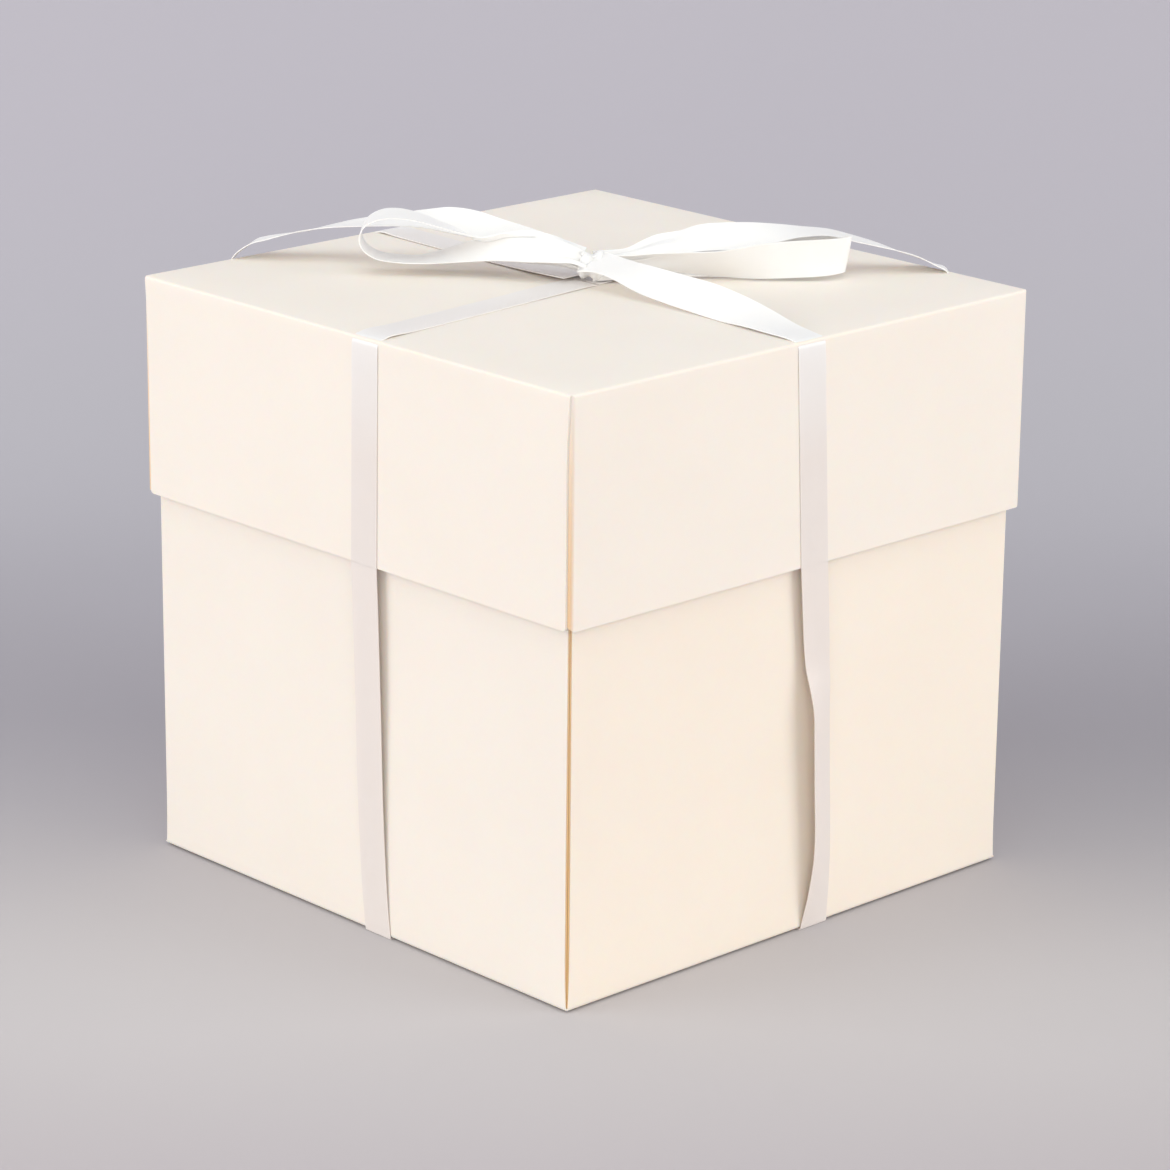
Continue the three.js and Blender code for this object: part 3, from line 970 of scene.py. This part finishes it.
# Where the bands stand clear of the lid: distance out, height over the lid, tilt
FLAT_RISE = [
    (0.5, 0.2, 0),
    (6, 0.3, 0),
    (14, 0.3, 0),
    (30, 0.2, 0),
    (55, 0.18, 0),
    (72, 0.25, 0),
    (80, 0.5, 0),
]
RISES = {
    "front": FLAT_RISE,
    "right": [
        (1.5, 6, 26),
        (4, 6.3, 22),
        (8, 6.4, 16),
        (15, 6, 16),
        (25, 4.9, 31),
        (35, 4.3, 38),
        (45, 3.9, 42),
        (55, 3.1, 35),
        (65, 2.2, 18),
        (74, 1, 5),
        (80, 0.5, 0),
    ],
    "back": FLAT_RISE,
    "left": [
        (3, 1.3, 0),
        (15, 0.8, 0),
        (30, 0.4, 0),
        (50, 0.3, 0),
        (66, 0.3, 0),
        (75, 0.35, 0),
        (80, 0.5, 0),
    ],
}
# How far the card shows through the bands, at a number of rows past the lid's edge. On the flat
# bands it is also painted shade over the lid's top, and every band stays nearly white round its
# bend over the edge as a painted highlight
FLAT_THROUGH_SHADE_AND_HIGHLIGHT = ((-12, 0.7), (4, 0.1), (24, 0.1), (40, 1))
CLEAR_MARKS = ((26, 0), (40, 1))
MARKS = {"front": FLAT_THROUGH_SHADE_AND_HIGHLIGHT, "right": CLEAR_MARKS, "back": FLAT_THROUGH_SHADE_AND_HIGHLIGHT, "left": FLAT_THROUGH_SHADE_AND_HIGHLIGHT}
# The lengths down the base: height, distance out from the lid's side, place along it, twist
FRONT_DROP = [
    (103.5, 0, 6.7, 0),
    (85, -0.25, 7.1, 0),
    (66, -0.6, 7.35, 0),
    (38, -1.25, 7.4, 0),
    (20, -1.75, 7.8, 0),
    (10, -2, 8.3, 0),
    (4, -2.15, 8.8, 0),
    (0.3, -2.25, 9.2, 0),
]
RIGHT_DROP = [
    (103.5, 0, 3.1, 0),
    (93, -0.1, 4, -1),
    (80, -0.3, 5.2, -3),
    (74.5, -0.2, 5.7, -7),
    (69.5, 0.5, 6.05, -13),
    (63.5, 1, 6.35, -20),
    (55, 0.95, 6.8, -21),
    (43, 0.6, 7.65, -21),
    (23, 0.1, 8.95, -20),
    (11, -0.9, 9, -12),
    (4, -1.8, 8.8, -5),
    (0.3, -2.25, 8.7, 0),
]
DROPS = {"front": FRONT_DROP, "right": RIGHT_DROP, "back": FRONT_DROP, "left": RIGHT_DROP}
OFFSET = 0.16  # the card's face to the ribbon's middle
EDGE_BEND = 2.2  # radius of the ribbon's bend over the lid's edge
EDGE_DROP = 2  # how far under the lid's top that bend ends
EDGE_STEPS, SKIRT_STEPS = 6, 4  # stations round the bend and down the skirt
BAND_CUP = 0.05


def flat_row(x, y, z, tilt=0.0, yaw=0.0, cup=0.0):
    a, b = math.radians(tilt), math.radians(yaw)
    across = (math.sin(b) * math.cos(a), math.cos(b) * math.cos(a), math.sin(a))
    return ((x, y, z), across, RIBBON_WIDTH / MM, cup)


def band(side):
    """Over the lid and down its skirt"""
    at_lid, at_skirt = BANDS[side]
    half, top, bottom = LID_HALF / MM, LID_TOP / MM, SKIRT_BOTTOM / MM
    stations = [(d, at_lid * d / half, top + h, t) for d, h, t in RISES[side]]
    for angle in quarter(EDGE_STEPS):
        out = half + OFFSET - EDGE_BEND + EDGE_BEND * math.sin(angle)
        z = top + OFFSET - EDGE_BEND + EDGE_BEND * math.cos(angle)
        stations.append((out, at_lid, z, 0))
    for share in shares((1, SKIRT_STEPS))[1:]:
        z = top - EDGE_DROP + (bottom - top + EDGE_DROP) * share
        stations.append((half + OFFSET, at_lid + (at_skirt - at_lid) * share, z, 0))
    line = smooth(stations, BAND_STEPS)
    rows = [flat_row(x, y, z, tilt, cup=BAND_CUP) for x, y, z, tilt in line]
    # marks: how far the card shows through, with painted shade over the lid and a painted highlight
    # at the bend
    past_edge = np.arange(len(rows)) - BAND_STEPS * len(RISES[side])
    marks = np.interp(past_edge, *zip(*MARKS[side]))
    piece, length = ribbon(f"ribbon_over_{side}_satin", rows, turn(SIDES[side]), marks=marks)
    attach(piece, "ribbon")
    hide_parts(f"ribbon_over_{side}")


def drop(side):
    """From the skirt's edge down to the base's"""
    line = smooth([(z, y, out, yaw) for z, out, y, yaw in DROPS[side]], BAND_STEPS)
    wall = LID_HALF / MM + OFFSET
    rows = [flat_row(wall + out, y, z, 0, yaw, cup=BAND_CUP) for z, y, out, yaw in line]
    piece, length = ribbon(f"ribbon_drop_{side}_satin", rows, turn(SIDES[side]), marks=1)
    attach(piece, "ribbon")
    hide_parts(f"ribbon_drop_{side}")
    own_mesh(piece)


for side in SIDES:
    band(side)
    drop(side)

UNDER_END = BASE_HALF / MM + 0.45  # where the strips under the base would meet the drops
UNDER_SHORT = 0.4  # they end this far before it
CROSSING = (9.5, 3)  # the upper strip starts to climb this far from the middle, over this length


def under(name, node, angle, at_base, climbs):
    """A strip under the base; the one that climbs crosses over the other"""
    low = RIBBON_THICKNESS / MM / 2
    high = 3 * low
    start, climb = CROSSING
    rows = []
    for x in np.linspace(-UNDER_END + UNDER_SHORT, UNDER_END - UNDER_SHORT, LONG_ROWS):
        z = low
        if climbs:
            z = low + (high - low) * max(0.0, min(1.0, (start - abs(x)) / climb))
        rows.append(flat_row(x, at_base * x / UNDER_END, z))
    piece, length = ribbon(name, rows, turn(angle), marks=1)
    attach(piece, "base")
    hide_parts(node)


AT_FRONT, AT_RIGHT = FRONT_DROP[-1][2], RIGHT_DROP[-1][2]  # where the drops reach the base
under("ribbon_under_front_back_satin", "ribbon_under_front_back", SIDES["front"], AT_FRONT, False)
under("ribbon_under_left_right_satin", "ribbon_under_left_right", SIDES["right"], AT_RIGHT, True)


def sweep_stage():
    """A paper sweep: floor, curve and backdrop, square to the studio"""
    start, bend, radius, height, wide = -1.6, 0.26, 0.4, 2.2, 3.0
    curve_steps, u_at_box = 24, 0.3
    profile = [(start, 0.0), (0.0, 0.0), (bend, 0.0)]
    for angle in quarter(curve_steps)[1:]:
        profile.append((bend + radius * math.sin(angle), radius - radius * math.cos(angle)))
    profile.append((bend + radius, height))
    along = line_lengths(np.array(profile)) + start + u_at_box
    shell = Shell()
    points = [[(x, y, z) for x in (-wide, 0, wide)] for y, z in profile]
    uvs = [[(s, x) for x in (0, 0.5, 1)] for s in along]
    shell.grid(points, uvs=uvs, flip=True)
    stage = shell.turned(turn(STUDIO_AZIMUTH)).piece("studio_sweep", [stage_material()])


sweep_stage()

LAMP_TARGET = 80 * MM  # height of the point that the lamps are aimed at
# Each lamp's azimuth from the studio's, elevation, distance, size, watts and colour
SOFTBOXES = {
    "softbox_left": (-78, 15, 2.0, (1.4, 1.3), 18.5, (0.96, 0.975, 1)),
    "softbox_right": (76, 15, 2.0, (1.4, 1.3), 16.8, (0.975, 0.985, 1)),
    "softbox_front": (0, 13, 2.6, (2.2, 1.3), 14.5, (1, 0.97, 0.93)),
    "softbox_top": (0, 78, 1.6, (1.9, 1.9), 9.2, (0.8, 0.94, 1)),
}
ROOM_COLOUR, ROOM_STRENGTH = (1, 0.94, 0.87), 0.62


def softbox(name, azimuth, elevation, distance, size, power, colour):
    """An area light aimed at the box"""
    data = bpy.data.lights.new(name, "AREA")
    data.shape = "RECTANGLE"
    data.size, data.size_y = size
    data.energy = power
    data.color = colour
    light = bpy.data.objects.new(name, data)
    direction = toward(math.radians(STUDIO_AZIMUTH + azimuth), math.radians(elevation))
    light.location = Vector((0, 0, LAMP_TARGET)) + direction * distance
    light.rotation_euler = direction.to_track_quat("Z", "Y").to_euler()
    bpy.context.collection.objects.link(light)


for name, lamp in SOFTBOXES.items():
    softbox(name, *lamp)


def room_light():
    world = bpy.data.worlds.new("studio_world")
    bpy.context.scene.world = world
    world.use_nodes = True
    background = world.node_tree.nodes["Background"]
    background.inputs["Color"].default_value = (*ROOM_COLOUR, 1)
    background.inputs["Strength"].default_value = ROOM_STRENGTH


room_light()
bpy.context.scene.view_settings.view_transform = "Standard"
